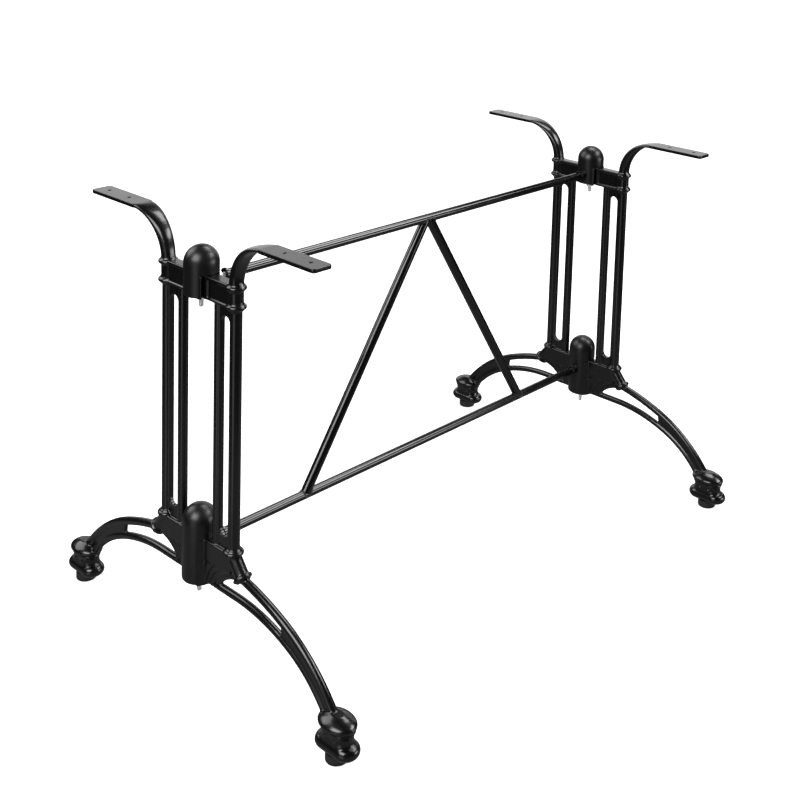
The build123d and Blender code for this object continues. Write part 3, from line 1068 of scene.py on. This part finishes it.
@dataclass(frozen=True)
class SoftBox:
    """One soft light that faces the object, placed by its direction from the object's middle. Angles in degrees."""

    name: str
    azimuth: float
    elevation: float
    distance: float
    width: float
    height: float
    brightness: float
    middle: Point = (0.0, 0.0, 0.4)

    def hang(self) -> None:
        """Makes the light, which the camera does not see."""
        data = bpy.data.lights.new(self.name, "AREA")
        data.shape, data.size, data.size_y = "RECTANGLE", self.width, self.height
        data.energy = self.brightness * math.pi * self.width * self.height
        turn, rise = math.radians(self.azimuth), math.radians(self.elevation)
        way = Vector((math.cos(turn) * math.cos(rise), math.sin(turn) * math.cos(rise), math.sin(rise)))
        lamp = bpy.data.objects.new(self.name, data)
        lamp.location = Vector(self.middle) + self.distance * way
        lamp.rotation_euler = (-way).to_track_quat("-Z", "Y").to_euler()
        lamp.visible_camera = False
        bpy.context.scene.collection.objects.link(lamp)


@dataclass
class Studio:
    """Camera at the photograph's view, pale floor and soft light. The boxes lie where the photograph's domes,
    rails and arms mirror a light."""

    camera_at: Point = (-1.634324, -1.576379, 1.302897)
    camera_turn: Point = (1.44790358, -0.03757059, -0.86676993)
    lens: float = 56.8084
    shift: Flat = (-0.148647, -0.488535)
    floor_size: float = 30.0
    floor_color: float = 0.55
    floor_glow: float = 0.62
    around: Point = (1.1, 1.1, 1.1)
    mirrored: Point = (0.03, 0.03, 0.032)
    boxes: tuple[SoftBox, ...] = (
        SoftBox("softbox_left", -172, 34, 3.2, 1.9, 1.7, 8.0),
        SoftBox("apron_left", -168, -10, 3.4, 1.6, 2.0, 0.8),
        SoftBox("strip_right", -58, 2, 3.2, 1.5, 0.8, 7.0, (0.0, 0.0, 0.45)),
        SoftBox("softbox_right", -44, 42, 3.2, 1.8, 0.9, 10.0),
        SoftBox("softbox_over", 14, 62, 3.0, 1.5, 1.2, 7.0),
        SoftBox("softbox_behind", 118, 36, 3.2, 2.0, 1.9, 3.5),
        SoftBox("floor_glow", 0, -90, 0.397, 2.2, 1.8, 0.17),
        SoftBox("backdrop", 43, 14, 4.0, 6.0, 2.4, 1.1))

    def build(self) -> None:
        """Makes the camera, the floor, the lights and the backdrop."""
        data = bpy.data.cameras.new("camera")
        data.lens, data.sensor_width, data.clip_end = self.lens, 36.0, 100.0
        data.shift_x, data.shift_y = self.shift
        camera = bpy.data.objects.new("camera", data)
        camera.location, camera.rotation_euler = self.camera_at, Euler(self.camera_turn, "XYZ")
        bpy.context.scene.collection.objects.link(camera)
        bpy.context.scene.camera = camera
        bpy.context.scene.view_settings.view_transform = "Standard"
        self.floor()
        self.sky()
        for box in self.boxes:
            box.hang()

    def floor(self) -> None:
        """Makes the large pale floor."""
        work = bmesh.new()
        bmesh.ops.create_grid(work, x_segments=1, y_segments=1, size=self.floor_size)
        mesh = bpy.data.meshes.new("floor")
        work.to_mesh(mesh)
        work.free()
        material, _ = new_material("floor_white")
        shader = material.node_tree.nodes["Principled BSDF"]
        for label, value in (("Base Color", (*(self.floor_color,) * 3, 1)), ("Roughness", 0.9),
                             ("Emission Color", (1, 1, 1, 1)), ("Emission Strength", self.floor_glow)):
            shader.inputs[label].default_value = value
        floor = new_piece("floor", mesh, material)
        floor.visible_glossy = False

    def sky(self) -> None:
        """White for the camera and the floor, near black for what the object mirrors between the soft boxes."""
        world = bpy.data.worlds.new("studio")
        world.use_nodes = True
        bpy.context.scene.world = world
        tree = Tree(world.node_tree)
        back = world.node_tree.nodes["Background"]
        mirrored = tree.add("ShaderNodeLightPath").outputs["Is Glossy Ray"]
        tint = tree.blend(mirrored, (*self.around, 1), (*self.mirrored, 1))
        world.node_tree.links.new(tint, back.inputs["Color"])


def main() -> None:
    """Builds the studio and each sub-assembly in order."""
    logging.basicConfig(level=logging.INFO, format="%(name)s %(message)s")
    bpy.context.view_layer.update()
    finishes = mix_finishes()
    Studio().build()
    RailSet(finishes.tube, finishes.weld).build()
    Hubs(finishes.hub).build()
    LegCastings(finishes.casting).build()
    Hardware(finishes).build()
    LOG.info("done")


if __name__ == "__main__":
    main()
